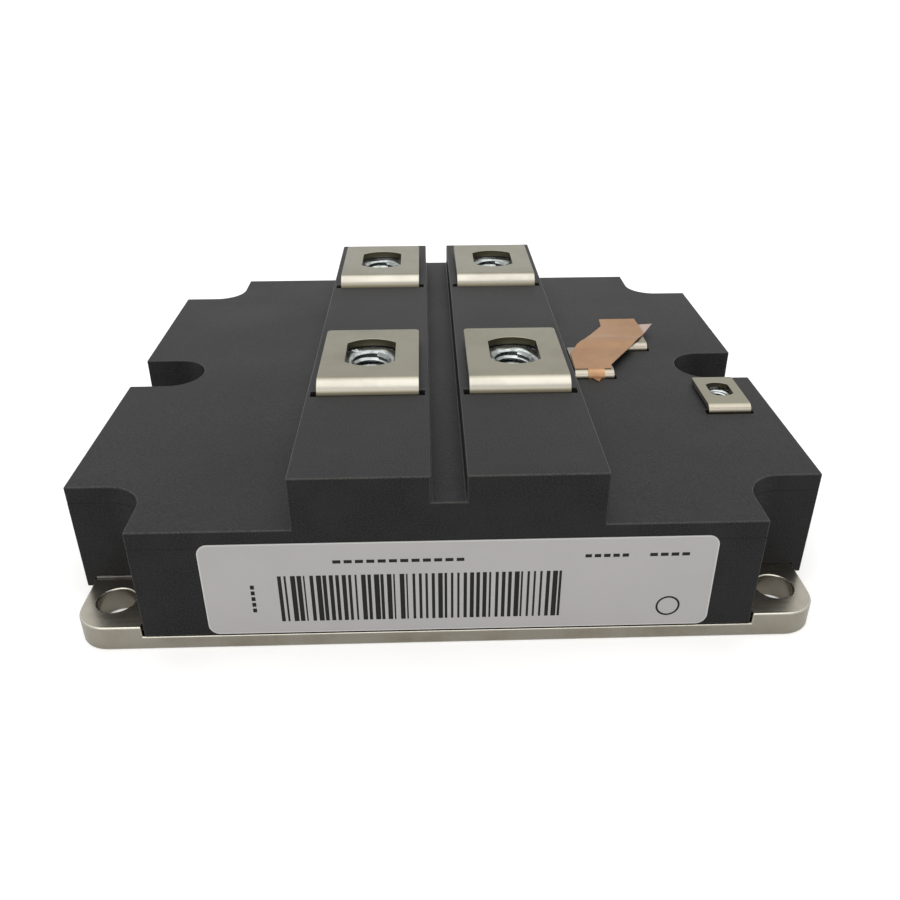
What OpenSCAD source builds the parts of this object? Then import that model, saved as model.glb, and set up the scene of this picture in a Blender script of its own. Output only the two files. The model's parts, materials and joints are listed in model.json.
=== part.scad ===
// Single-switch semiconductor power module: a nickel-plated copper base plate under a
// two-piece moulded housing. Four folded busbars rise through the ridges and bend over
// captive M8 nuts; three smaller tabs do the same over M4 nuts on one wing.
// Origin: centre of the base plate's underside. X is the width, Y the depth, +Z is up.

/* [Housing] */
// Width over the side walls
housing_x = 140; // [137:0.5:144]
// Depth over the front and back walls
housing_y = 130; // [129:0.5:136]
// Thickness of the frame's and the ridges' walls
wall = 2.5; // [2:0.1:3]
// Height of the wings' top face
wing_z = 25.5; // [25:0.1:27.5]
// Height of the seam between frame and lid
seam_z = 22; // [20.5:0.1:22.4]
// Thickness of the lid's top and of the ridges' roofs
lid_t = 2.5; // [2:0.1:2.8]
// Depth of the lid's locating lip below the seam
lip_h = 2; // [1:0.1:3]
// Thickness of the locating lip
lip_t = 1.5; // [1:0.1:2]
// Thickness of the skirt that hangs round the base plate
skirt_t = 1.8; // [1.4:0.1:2]
// Height of the skirt's lower edge
skirt_z = 3; // [2.5:0.1:4]
// Width of the frame's inner foot, beyond its wall
flange_w = 2; // [1:0.1:2.5]
// Height of the frame's inner foot
flange_h = 2; // [1:0.1:3]
// Clearance between parts that fit into each other
fit_gap = 0.2; // [0.1:0.05:0.3]
// Clearance at each end of the skirt's step in the base plate
step_gap = 0.4; // [0.2:0.05:0.6]

/* [Base plate] */
// Thickness of the base plate
plate_t = 5; // [4.5:0.1:5.5]
// Radius of the base plate's corners
plate_corner_r = 6; // [3:0.5:7]
// Distance of the mounting holes from the housing's side walls
hole_edge_x = 8; // [7.5:0.1:9]
// Distance of the corner mounting holes from the housing's front and back walls
hole_edge_y = 8; // [7.5:0.1:9]
// Diameter of the mounting holes
hole_d = 7; // [6:0.1:8]
// Radius of the screw-head recesses in the housing, round the holes
recess_r = 7; // [6.5:0.1:8]

/* [Ridges] */
// Height of the ridges' roofs
ridge_z = 35.6; // [34.6:0.1:37.6]
// Width of each ridge
ridge_w = 23.8; // [23.2:0.1:25]
// Width of the groove between the ridges
groove_w = 6; // [5:0.1:8]
// Height of the groove's floor
groove_z = 30.5; // [29:0.1:32]

/* [Main terminals] */
// Width of a main terminal
bar_w = 20; // [18:0.1:20.5]
// Thickness of the busbar sheet
bar_t = 1.6; // [1.5:0.1:2]
// Air gap between a ridge's roof and the terminal above it
bar_gap = 0.8; // [0.5:0.1:1]
// Distance of the front terminals' holes from the front wall
bar_front_edge = 46.5; // [45:0.5:49]
// Distance of the rear terminals' holes from the back wall
bar_rear_edge = 20.5; // [20:0.5:22]
// Length from a terminal's hole to its free edge
bar_heel = 12.2; // [10:0.1:12.6]
// Length from a terminal's hole to the start of its bend
bar_toe = 12; // [10.5:0.1:13]
// Outer radius of the busbars' bends
bar_bend_r = 3.5; // [2.6:0.1:4]
// Radius of a terminal's free corners
bar_corner_r = 1; // [0.5:0.1:2]
// Diameter of the opening over the nut
bar_hole_d = 14; // [12:0.1:15]
// Width between the opening's two flats
bar_hole_w = 10.2; // [9:0.1:11]
// Clearance at each end of a riser's slot
bar_slot_x = 1.1; // [0.3:0.1:1.2]
// Clearance in front of and behind a riser
bar_slot_y = 0.4; // [0.2:0.1:0.8]

/* [Control terminals] */
// Width of a control tab
tab_w = 9; // [7:0.1:9.6]
// Thickness of a control tab
tab_t = 1.1; // [0.8:0.1:1.4]
// Air gap between the wing and the tab above it
tab_gap = 0.4; // [0.1:0.1:0.8]
// Length from a tab's hole to its free edge
tab_heel = 6.1; // [5:0.1:7]
// Length from a tab's hole to the start of its bend
tab_toe = 6.8; // [6:0.1:7.5]
// Outer radius of the tabs' bends
tab_bend_r = 1.6; // [1.5:0.1:2]
// Diameter of the opening over the nut
tab_hole_d = 6.5; // [5.5:0.1:7]
// Width between the opening's two flats
tab_hole_w = 4.8; // [4.4:0.1:5.2]
// Clearance round a tab's riser in its slot
tab_slot = 0.5; // [0.2:0.1:0.7]
// Radius of a tab's free corners
tab_corner_r = 0.5; // [0.3:0.1:1]
// Length of a tab's riser that the potting holds
tab_root = 2.5; // [1:0.1:3]
// Distance of the gate tab's hole from the ridge beside it
gate_off = 8.2; // [7:0.1:8.6]
// Place of the gate tab's hole along Y
gate_y = 2; // [1:0.5:3]
// Distance of the emitter sense tab's hole from the ridge
sense_off = 19.2; // [18.8:0.1:20]
// Place of the emitter sense tab's hole along Y
sense_y = 17.6; // [17:0.2:18]
// Distance of the collector sense tab's hole from the right wall
tap_edge = 9.5; // [9:0.1:10]
// Place of the collector sense tab's hole along Y
tap_y = -16.1; // [-17:0.1:-15]

/* [Nuts] */
// Width across flats of the M8 nuts
m8_flats = 13; // [12:0.1:14]
// Height of the M8 nuts
m8_h = 6.5; // [5:0.1:7]
// Core diameter of the M8 thread
m8_core = 6.8; // [6.4:0.1:7]
// Air gap between an M8 nut and the terminal above it
m8_gap = 0.1; // [0.1:0.1:1]
// Depth that an M8 screw can reach below the terminals' top
m8_reach = 16.5; // [14:0.5:17]
// Width across flats of the M4 nuts
m4_flats = 7; // [6.5:0.1:7.5]
// Height of the M4 nuts
m4_h = 3.2; // [2.4:0.1:3.4]
// Core diameter of the M4 thread
m4_core = 3.3; // [3.1:0.1:3.5]
// Air gap between an M4 nut and the tab above it
m4_gap = 0.3; // [0.1:0.1:0.8]
// Wall round the nut pockets
boss_wall = 1.6; // [1:0.1:2]
// Diameter of the wells under the M8 nuts
m8_well_d = 9; // [8.4:0.1:10]
// Diameter of the wells under the M4 nuts
m4_well_d = 4.8; // [4.4:0.1:5.4]
// Thickness of the floor under the wells
well_floor = 1.2; // [0.8:0.1:1.4]
// Gap between the wells' floors and the potting
well_gap = 0.6; // [0.3:0.1:0.8]

/* [Ceramic substrates] */
// Distance of the substrates from the housing's side walls
substrate_edge_x = 21; // [20.5:0.5:22]
// Distance of the substrates from the housing's front and back walls
substrate_edge_y = 9; // [8.5:0.5:10]
// Gap between the left and right substrates
substrate_gap_x = 6; // [5:0.5:7]
// Gap between the front and rear substrates
substrate_gap_y = 4; // [3:0.5:5]
// Thickness of each copper layer
copper_t = 0.3; // [0.2:0.05:0.4]
// Thickness of the ceramic
ceramic_t = 0.6; // [0.4:0.05:1]
// Bare ceramic left round the copper
copper_margin = 1; // [0.8:0.1:1.4]
// Gap etched between two copper pads
pad_gap = 1; // [0.6:0.1:1.2]
// Width of the emitter pad
emitter_pad_w = 7.2; // [6.8:0.1:7.6]
// Width of the gate track
gate_pad_w = 2; // [1.6:0.1:2.4]

/* [Chips and bond wires] */
// Share of the chips' room along X that a transistor takes; its diode takes the rest
igbt_share = 0.59; // [0.55:0.01:0.62]
// Depth of a transistor chip along Y
igbt_y = 13; // [12:0.1:14]
// Depth of a diode chip along Y
diode_y = 9; // [8:0.1:9.4]
// Clearance between the diodes and the busbars' legs
leg_clear = 0.6; // [0.3:0.1:1]
// Thickness of the chips
chip_t = 0.25; // [0.15:0.05:0.35]
// Distance from the collector pad's inner edge to the transistors
igbt_inset = 1.5; // [1:0.1:2]
// Gap between a transistor and its diode
chip_gap = 1.2; // [0.8:0.1:2]
// Spacing of the rows of chips
row_pitch = 16; // [15.5:0.1:17]
// Diameter of a bond wire
wire_d = 0.4; // [0.3:0.05:0.5]
// Height of a bond wire's loop
wire_rise = 1.5; // [1:0.1:1.8]
// Spacing of the bond wires of one chip
wire_pitch = 1.2; // [0.8:0.1:1.6]
// Distance from the edge of a pad or chip to the wire that lands near it
wire_inset = 0.9; // [0.8:0.1:1.2]

/* [Busbar roots and fillings] */
// Depth of silicone gel over the substrates
gel_h = 3.3; // [3:0.1:3.6]
// Potting under the lower busbar sheets
sheet_bed = 1.3; // [1:0.1:1.6]
// Potting between the two levels of busbar sheets
sheet_gap = 1.2; // [0.8:0.1:1.5]
// Potting over the upper busbar sheets
sheet_cover = 0.9; // [0.5:0.1:1.2]
// Length of the busbar sheets along Y
sheet_y = 12; // [11:0.5:13]
// Distance that the lower sheets stop short of the upper ones
sheet_step = 1.5; // [1.2:0.1:2]
// Width of a busbar's leg
leg_w = 5; // [4:0.1:5.2]
// Outer radius of the legs' bends
leg_r = 2.4; // [2.2:0.1:2.5]
// Length of the flat foot at the end of a leg
foot_l = 4; // [3:0.1:4.4]
// Distance of the feet from the pads' edges
foot_inset = 0.3; // [0.1:0.1:0.4]
// Diameter of the control leads
lead_d = 1.2; // [0.8:0.1:1.2]
// Radius of the control leads' bends
lead_r = 1.5; // [1.2:0.1:1.6]

/* [Label and foil] */
// Width of the label
label_x = 90; // [60:1:104]
// Height of the label
label_z = 19.5; // [15:0.5:20]
// Thickness of the label
label_t = 0.15; // [0.1:0.05:0.3]
// Radius of the label's corners
label_r = 2; // [1:0.1:4]
// Distance of the label's middle from the housing's middle
label_shift = 1.8; // [-2:0.1:2]
// Distance of the label above the skirt's lower edge
label_lift = 0.3; // [0.1:0.1:0.8]
// Thickness of the shorting foil
foil_t = 0.2; // [0.1:0.05:0.3]

/* [Hidden] */
$fn = 96;

// Longer than any part: cutting tools reach this far
far = 200;

// Plan of the base plate and the mounting holes
hole_x = housing_x / 2 - hole_edge_x;
hole_y = housing_y / 2 - hole_edge_y;
plate_x = housing_x - 2 * (skirt_t + fit_gap);
front_half = hole_x - recess_r;
lip_inset = wall + fit_gap + lip_t;

// Heights of the layers inside, from the base plate up
pad_z = plate_t + 2 * copper_t + ceramic_t;
chip_z = pad_z + chip_t;
gel_z = pad_z + gel_h;
lower_sheet_z = gel_z + sheet_bed;
upper_sheet_z = lower_sheet_z + bar_t + sheet_gap;
potting_z = upper_sheet_z + bar_t + sheet_cover;
lead_z = gel_z + lead_r;

// Heights and places of the terminals
bar_z = ridge_z + bar_gap + bar_t;
bar_x = (groove_w + ridge_w) / 2;
bar_y = bar_front_edge - housing_y / 2;
bar_rear_y = housing_y / 2 - bar_rear_edge;
riser_y = bar_toe + bar_bend_r;
tab_z = wing_z + tab_gap + tab_t;
tab_riser_y = tab_toe + tab_bend_r;
tab_root_z = potting_z - tab_root;
m8_z = bar_z - bar_t - m8_gap - m8_h;
m8_well_z = bar_z - m8_reach;
m4_z = tab_z - tab_t - m4_gap - m4_h;
m4_well_z = potting_z + well_gap + well_floor;
ridges_end = groove_w / 2 + ridge_w;
gate_x = ridges_end + gate_off;
sense_x = ridges_end + sense_off;
tap_x = housing_x / 2 - tap_edge;
tabs = [[gate_x, gate_y], [sense_x, sense_y], [tap_x, tap_y]];

// Plan of a substrate, measured outwards from the module's middle
substrate_x = housing_x / 2 - substrate_edge_x - substrate_gap_x / 2;
substrate_y = housing_y / 2 - substrate_edge_y - substrate_gap_y / 2;
pad_x = substrate_gap_x / 2 + copper_margin;
pad_y = substrate_gap_y / 2 + copper_margin;
pad_len = substrate_y - 2 * copper_margin;
gate_pad_x = pad_x + emitter_pad_w + pad_gap;
collector_pad_x = gate_pad_x + gate_pad_w + pad_gap;
pad_end_x = substrate_gap_x / 2 + substrate_x - copper_margin;
foot_run = 2 * leg_r - bar_t;
collector_sheet_x = pad_end_x - foot_inset - foot_l - foot_run;
chip_room = collector_sheet_x - leg_clear - collector_pad_x - igbt_inset - chip_gap;
igbt_w = chip_room * igbt_share;
diode_w = chip_room - igbt_w;
igbt_x = collector_pad_x + igbt_inset + igbt_w / 2;
diode_x = igbt_x + (igbt_w + diode_w) / 2 + chip_gap;
rows = [for (i = [-1 : 1]) pad_y + pad_len / 2 + i * row_pitch];
gate_track_x = gate_pad_x + gate_pad_w / 2;

// Bond wires: each runs from one place along X to another
bond_from_x = gate_pad_x - pad_gap - wire_inset;
bond_to_x = igbt_x - igbt_w / 4;
diode_bond_from_x = igbt_x + igbt_w / 4;
gate_bond_to_x = igbt_x - igbt_w / 2 + wire_inset;
gate_bond_dy = igbt_y / 3;
wire_clear = 0.3;

// Busbar roots
emitter_leg_x = pad_x + foot_inset + leg_w / 2;
emitter_sheet_x = emitter_leg_x + leg_w / 2;

// ---------------------------------------------------------------- shared shapes

module mirrored_xy() {
    for (mx = [0, 1], my = [0, 1]) mirror([mx, 0, 0]) mirror([0, my, 0]) children();
}

// What an outer corner loses when it is rounded about the origin
module corner_trim(r) {
    difference() {
        square(r + 1);
        circle(r);
    }
}

module rounded_rectangle(size_x, size_y, r) {
    difference() {
        square([size_x, size_y], center = true);
        mirrored_xy() translate([size_x / 2 - r, size_y / 2 - r]) corner_trim(r);
    }
}

// Plan of the housing, moved inwards by inset: a rectangle with a recess round each hole
module housing_plan(inset) {
    grown = recess_r + inset;
    difference() {
        square([housing_x - 2 * inset, housing_y - 2 * inset], center = true);
        mirrored_xy() {
            translate([hole_x, hole_y]) circle(grown);
            translate([hole_x - grown, hole_y]) square(far);
            translate([hole_x, hole_y - grown]) square(far);
            translate([hole_x, 0]) circle(grown);
            translate([hole_x, 0]) square([far, grown]);
        }
    }
}

module housing_ring(outer_inset, inner_inset) {
    difference() {
        housing_plan(outer_inset);
        housing_plan(inner_inset);
    }
}

module slab(z, top) {
    translate([0, 0, z]) linear_extrude(top - z) children();
}

// Turns a side view drawn in Y and Z into a solid of a given width along X
module side_extrude(width) {
    rotate([90, 0, 90]) linear_extrude(width, center = true) children();
}

// A quarter of a sheet bend in the quadrant that sx and sy give
module bend(r, t, sx, sy) {
    intersection() {
        difference() {
            circle(r);
            circle(r - t);
        }
        scale([sx, sy]) square(r);
    }
}

// Opening over a nut: a circle with two flats
module terminal_opening(d, flats) {
    intersection() {
        circle(d = d);
        square([flats, d + 1], center = true);
    }
}

// A terminal's flat and its bend, with the hole's axis at the origin and its top at z = 0
module folded_terminal(w, t, heel, toe, r, corner, d, flats) {
    slab(-t, 0) difference() {
        translate([-w / 2, -toe]) square([w, toe + heel]);
        for (s = [0, 1]) mirror([s, 0, 0]) translate([w / 2 - corner, heel - corner]) corner_trim(corner);
        terminal_opening(d, flats);
    }
    side_extrude(w) translate([-toe, -r]) bend(r, t, -1, 1);
}

// Hexagon whose flats face along X
module hexagon(flats) {
    rotate(30) circle(d = flats / cos(30), $fn = 6);
}

// The corners are turned down to a circle as wide as the flats; both mouths have a lead-in
module hex_nut(flats, h, core) {
    corners_d = flats / cos(30);
    bevel_h = (corners_d - flats) / 2 * tan(30);
    lead_in = flats / 16;
    difference() {
        intersection() {
            linear_extrude(h) hexagon(flats);
            union() {
                cylinder(d1 = flats, d2 = corners_d, h = bevel_h);
                translate([0, 0, bevel_h]) cylinder(d = corners_d, h = h - 2 * bevel_h);
                translate([0, 0, h - bevel_h]) cylinder(d1 = corners_d, d2 = flats, h = bevel_h);
            }
        }
        translate([0, 0, -1]) cylinder(d = core, h = h + 2);
        cylinder(d1 = core + 2 * lead_in, d2 = core, h = lead_in);
        translate([0, 0, h - lead_in]) cylinder(d1 = core, d2 = core + 2 * lead_in, h = lead_in);
    }
}

// ---------------------------------------------------------------- base plate and housing

module base_plate() {
    color([0.70, 0.68, 0.62]) difference() {
        linear_extrude(plate_t) rounded_rectangle(plate_x, housing_y, plate_corner_r);
        for (x = [-1, 1], y = [-1 : 1]) translate([x * hole_x, y * hole_y, -1])
            cylinder(d = hole_d, h = plate_t + 2);
        // The skirt drops into a step along the front and back edges, between the ears
        for (s = [-1, 1]) translate([0, s * housing_y / 2, skirt_z - fit_gap + plate_t / 2])
            cube([2 * (front_half + step_gap), 2 * (skirt_t + fit_gap), plate_t], center = true);
    }
}

module frame() {
    color([0.20, 0.20, 0.21]) {
        slab(plate_t, seam_z) housing_ring(0, wall);
        slab(plate_t, plate_t + flange_h) housing_ring(0, wall + flange_w);
        slab(skirt_z, plate_t) difference() {
            housing_plan(0);
            square([housing_x - 2 * skirt_t, housing_y - 2 * skirt_t], center = true);
        }
    }
}

module lid_shell() {
    cavity_y = housing_y - 2 * lip_inset;
    difference() {
        union() {
            slab(seam_z, wing_z) housing_plan(0);
            slab(seam_z - lip_h, seam_z) housing_plan(wall + fit_gap);
            slab(wing_z - lid_t, ridge_z) square([2 * ridges_end, housing_y], center = true);
        }
        slab(seam_z - lip_h - 1, wing_z - lid_t) housing_plan(lip_inset);
        slab(groove_z, ridge_z + 1) square([groove_w, housing_y + 2], center = true);
        slab(wing_z - lid_t - 1, groove_z - lid_t)
            square([2 * (ridges_end - wall), cavity_y], center = true);
        for (s = [-1, 1]) translate([s * bar_x, 0]) slab(wing_z - lid_t - 1, ridge_z - lid_t)
            square([ridge_w - 2 * wall, cavity_y], center = true);
    }
}

module lid() {
    m8_boss_y = (m8_flats + 2 * fit_gap) / cos(30) + 2 * boss_wall;
    m4_boss = (m4_flats + 2 * fit_gap) / cos(30) + 2 * boss_wall;
    color([0.26, 0.26, 0.26]) difference() {
        union() {
            lid_shell();
            for (x = [-1, 1], y = [bar_y, bar_rear_y]) translate([x * bar_x, y])
                slab(m8_well_z - well_floor, ridge_z - 1)
                    square([ridge_w - 2 * wall, m8_boss_y], center = true);
            for (p = tabs) translate(p)
                slab(m4_well_z - well_floor, wing_z - 1) square(m4_boss, center = true);
        }
        for (x = [-1, 1], y = [bar_y, bar_rear_y]) translate([x * bar_x, y]) {
            slab(m8_z, far) hexagon(m8_flats + 2 * fit_gap);
            slab(m8_well_z, far) circle(d = m8_well_d);
            translate([0, bar_t / 2 - riser_y]) slab(wing_z - lid_t - 1, far)
                square([bar_w + 2 * bar_slot_x, bar_t + 2 * bar_slot_y], center = true);
        }
        for (p = tabs) translate(p) {
            slab(m4_z, far) hexagon(m4_flats + 2 * fit_gap);
            slab(m4_well_z, far) circle(d = m4_well_d);
            translate([0, tab_t / 2 - tab_riser_y]) slab(seam_z - lip_h - 1, far)
                square([tab_w + 2 * tab_slot, tab_t + 2 * tab_slot], center = true);
        }
    }
}

// ---------------------------------------------------------------- busbars

// From the terminal's flat down the riser and round to the buried sheet
module bar_above(sheet_z) {
    translate([0, 0, bar_z])
        folded_terminal(bar_w, bar_t, bar_heel, bar_toe, bar_bend_r, bar_corner_r, bar_hole_d, bar_hole_w);
    side_extrude(bar_w) {
        translate([-riser_y, sheet_z + bar_bend_r]) square([bar_t, bar_z - sheet_z - 2 * bar_bend_r]);
        translate([-bar_toe, sheet_z + bar_bend_r]) bend(bar_bend_r, bar_t, -1, -1);
    }
}

// A leg that leaves a sheet at the origin along +Y and ends in a flat foot on a pad
module bar_leg(sheet_z) {
    side_extrude(leg_w) {
        translate([0, sheet_z + bar_t - leg_r]) bend(leg_r, bar_t, 1, 1);
        translate([leg_r - bar_t, pad_z + leg_r]) square([bar_t, sheet_z + bar_t - pad_z - 2 * leg_r]);
        translate([foot_run, pad_z + leg_r]) bend(leg_r, bar_t, -1, -1);
        translate([foot_run, pad_z]) square([foot_l, bar_t]);
    }
}

// Emitter bars stand in the left ridge; their upper sheet has a leg on each side's inner pad
module emitter_bar(y) {
    color([0.66, 0.64, 0.57]) translate([0, y, 0]) {
        translate([-bar_x, 0]) bar_above(upper_sheet_z);
        translate([-bar_x - bar_w / 2, -bar_toe, upper_sheet_z])
            cube([bar_x + bar_w / 2 + emitter_sheet_x, sheet_y, bar_t]);
        for (s = [-1, 1]) translate([s * emitter_leg_x, sheet_y - bar_toe]) bar_leg(upper_sheet_z);
    }
}

// Collector bars stand in the right ridge; their lower sheet reaches the outer pads
module collector_bar(y) {
    reach_y = sheet_y - sheet_step;
    color([0.66, 0.64, 0.57]) translate([0, y, 0]) {
        translate([bar_x, 0]) bar_above(lower_sheet_z);
        translate([-collector_sheet_x, -bar_toe, lower_sheet_z])
            cube([2 * collector_sheet_x, reach_y, bar_t]);
        for (s = [-1, 1]) translate([s * collector_sheet_x, leg_w / 2 - bar_toe])
            rotate(-s * 90) bar_leg(lower_sheet_z);
    }
}

module all_bars() {
    for (y = [bar_y, bar_rear_y]) {
        emitter_bar(y);
        collector_bar(y);
    }
}

// ---------------------------------------------------------------- control terminals

module control_terminal(p) {
    color([0.68, 0.66, 0.60]) translate([p[0], p[1], tab_z]) {
        folded_terminal(tab_w, tab_t, tab_heel, tab_toe, tab_bend_r, tab_corner_r, tab_hole_d, tab_hole_w);
        side_extrude(tab_w) translate([-tab_riser_y, tab_root_z - tab_z])
            square([tab_t, tab_z - tab_root_z - tab_bend_r]);
    }
}

// A stiff wire in one plane: down from z0, along X at the height run_z, and down to the pad
module lead(x0, z0, x1) {
    side = x1 < x0 ? -1 : 1;
    translate([x0, 0, lead_z + lead_r]) cylinder(d = lead_d, h = z0 - lead_z - lead_r);
    translate([x0 + side * lead_r, 0, lead_z + lead_r]) rotate([-90, 0, 0]) rotate(side > 0 ? 90 : 0)
        rotate_extrude(angle = 90) translate([lead_r, 0]) circle(d = lead_d);
    translate([x0 + side * lead_r, 0, lead_z]) rotate([0, side * 90, 0])
        cylinder(d = lead_d, h = abs(x1 - x0) - 2 * lead_r);
    translate([x1 - side * lead_r, 0, lead_z - lead_r]) rotate([-90, 0, 0]) rotate(side > 0 ? -90 : 180)
        rotate_extrude(angle = 90) translate([lead_r, 0]) circle(d = lead_d);
    translate([x1, 0, pad_z]) cylinder(d = lead_d, h = lead_z - lead_r - pad_z);
}

module control_leads() {
    root_y = tab_riser_y - tab_t / 2;
    color([0.72, 0.45, 0.25]) {
        translate([0, gate_y - root_y]) lead(gate_x, tab_root_z, gate_track_x);
        translate([0, sense_y - root_y]) lead(sense_x, tab_root_z, emitter_leg_x);
        translate([0, tap_y - root_y]) lead(tap_x, tab_root_z, pad_end_x - lead_d);
    }
}

// ---------------------------------------------------------------- nuts

module m8_nuts() {
    color([0.70, 0.72, 0.74]) for (x = [-1, 1], y = [bar_y, bar_rear_y])
        translate([x * bar_x, y, m8_z]) hex_nut(m8_flats, m8_h, m8_core);
}

module m4_nuts() {
    color([0.70, 0.72, 0.74]) for (p = tabs) translate([p[0], p[1], m4_z])
        hex_nut(m4_flats, m4_h, m4_core);
}

// ---------------------------------------------------------------- substrates, chips, wires

// Copper, ceramic and etched copper, bonded into one board; drawn for the rear right place
module substrate_board() {
    translate([substrate_gap_x / 2, substrate_gap_y / 2]) {
        slab(plate_t, plate_t + copper_t) translate([copper_margin, copper_margin])
            square([substrate_x - 2 * copper_margin, pad_len]);
        slab(plate_t + copper_t, pad_z - copper_t) square([substrate_x, substrate_y]);
    }
    slab(pad_z - copper_t, pad_z) {
        translate([pad_x, pad_y]) square([emitter_pad_w, pad_len]);
        translate([gate_pad_x, pad_y]) square([gate_pad_w, pad_len]);
        translate([collector_pad_x, pad_y]) square([pad_end_x - collector_pad_x, pad_len]);
    }
}

module substrate(right, rear) {
    color([0.80, 0.62, 0.45]) mirror([right ? 0 : 1, 0, 0]) mirror([0, rear ? 0 : 1, 0]) substrate_board();
}

module chips(x, size_x, size_y) {
    color([0.45, 0.46, 0.50]) mirrored_xy() for (y = rows) translate([x, y, pad_z + chip_t / 2])
        cube([size_x, size_y, chip_t], center = true);
}

// A wire loop along X that stands on its two ends, x0 at the height z0 and x1 on a chip
module bond(x0, z0, x1) {
    half = norm([x1 - x0, chip_z - z0]) / 2;
    r = (half * half + wire_rise * wire_rise) / (2 * wire_rise);
    angle = asin(half / r);
    translate([x0, 0, z0 + wire_d / 2]) rotate([0, -atan2(chip_z - z0, x1 - x0), 0])
        translate([half, 0, wire_rise - r]) rotate([90, 0, 0])
        rotate(90 - angle) rotate_extrude(angle = 2 * angle) translate([r, 0]) circle(d = wire_d);
}

module bond_wires() {
    color([0.82, 0.83, 0.85]) mirrored_xy() for (y = rows) {
        for (i = [-1 : 1]) translate([0, y + i * wire_pitch]) {
            bond(bond_from_x, pad_z, bond_to_x);
            bond(diode_bond_from_x, chip_z, diode_x);
        }
        translate([0, y + gate_bond_dy]) bond(gate_track_x, pad_z, gate_bond_to_x);
    }
}

// ---------------------------------------------------------------- fillings

// Room in the gel for the chips and their wires
module wire_pockets() {
    top = chip_z + wire_rise + wire_d + wire_clear;
    main_w = 2 * wire_pitch + wire_d + 2 * wire_clear;
    gate_w = wire_d + 2 * wire_clear;
    mirrored_xy() for (y = rows) slab(pad_z, top) {
        translate([bond_from_x - wire_clear - wire_d, y - main_w / 2])
            square([diode_x - bond_from_x + 2 * (wire_clear + wire_d), main_w]);
        translate([gate_track_x - wire_clear - wire_d, y + gate_bond_dy - gate_w / 2])
            square([gate_bond_to_x - gate_track_x + 2 * (wire_clear + wire_d), gate_w]);
    }
}

module gel() {
    color([0.80, 0.86, 0.88, 0.5]) difference() {
        union() {
            slab(plate_t, plate_t + flange_h) housing_plan(wall + flange_w);
            slab(plate_t + flange_h, gel_z) housing_plan(wall);
        }
        mirrored_xy() substrate_board();
        chips(igbt_x, igbt_w, igbt_y);
        chips(diode_x, diode_w, diode_y);
        wire_pockets();
        all_bars();
        control_leads();
    }
}

module potting() {
    color([0.16, 0.16, 0.16]) difference() {
        slab(gel_z, potting_z) housing_plan(wall);
        all_bars();
        for (p = tabs) control_terminal(p);
        control_leads();
    }
}

// ---------------------------------------------------------------- label and foil

module label() {
    middle_z = skirt_z + label_lift + label_z / 2;
    color([0.75, 0.74, 0.75]) translate([label_shift, -housing_y / 2, middle_z]) rotate([90, 0, 0])
        linear_extrude(label_t) rounded_rectangle(label_x, label_z, label_r);
}

// A hand-cut strip over two tabs; its tongue bends down over the gate tab to a point on the wing
module shorting_foil() {
    front = gate_y - tab_toe;
    back = sense_y + tab_heel + 1.6;
    left = gate_x - tab_w / 2 + 0.1;
    right = sense_x + tab_w / 2;
    bend_r = tab_bend_r + foil_t;
    tongue = [gate_x - 1.5, gate_x + 2.3];
    outline = [
        [left, front], [tongue[1] + 1.6, front], [tongue[1] + 2, front + 2],
        [sense_x + 0.5, sense_y - 9.3], [right - 0.2, sense_y - 3.2],
        [right + 3.4, sense_y + 2.6], [right + 0.3, sense_y + 3.8], [right, back],
        [sense_x - 4.6, back], [sense_x - 4.9, sense_y + 3.3], [gate_x + 1.3, gate_y + 11.3],
        [gate_x - 1.9, gate_y + 6.8], [left + 0.2, gate_y + 2]
    ];
    foot = front - tab_bend_r - foil_t / 2;
    color([0.74, 0.50, 0.36]) {
        slab(tab_z, tab_z + foil_t) polygon(outline);
        slab(wing_z, wing_z + foil_t)
            polygon([[gate_x - 0.7, foot], [gate_x + 0.5, foot - 2.1], [gate_x + 1.6, foot]]);
        translate([(tongue[0] + tongue[1]) / 2, front, tab_z - tab_bend_r])
            side_extrude(tongue[1] - tongue[0]) bend(bend_r, foil_t, -1, 1);
    }
}

// ---------------------------------------------------------------- the nodes

base_plate();
frame();
lid();
emitter_bar(bar_y);  // emitter_bar_front
emitter_bar(bar_rear_y);  // emitter_bar_rear
collector_bar(bar_y);  // collector_bar_front
collector_bar(bar_rear_y);  // collector_bar_rear
control_terminal(tabs[0]);  // gate_terminal
control_terminal(tabs[1]);  // emitter_sense_terminal
control_terminal(tabs[2]);  // collector_sense_terminal
m8_nuts();
m4_nuts();
shorting_foil();
label();
substrate(false, false);  // substrate_front_left
substrate(true, false);  // substrate_front_right
substrate(false, true);  // substrate_rear_left
substrate(true, true);  // substrate_rear_right
chips(igbt_x, igbt_w, igbt_y);  // igbt_chips
chips(diode_x, diode_w, diode_y);  // diode_chips
bond_wires();
control_leads();
gel();
potting();
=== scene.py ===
# %% [markdown]
# # Dressing a power semiconductor module
# The object is a black plastic housing on a nickel-plated copper plate. Four wide terminals and
# three small tabs come up through it and fold over captive nuts. The CAD solids already have the
# right sizes, so this script only softens their edges, cuts real threads into the nuts, creases
# the copper foil, lays a bead of sealant, and gives every piece a finish.

# %% Load the frame
import json
import math

import bmesh
import bpy
from mathutils import Matrix, Vector, noise

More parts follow.
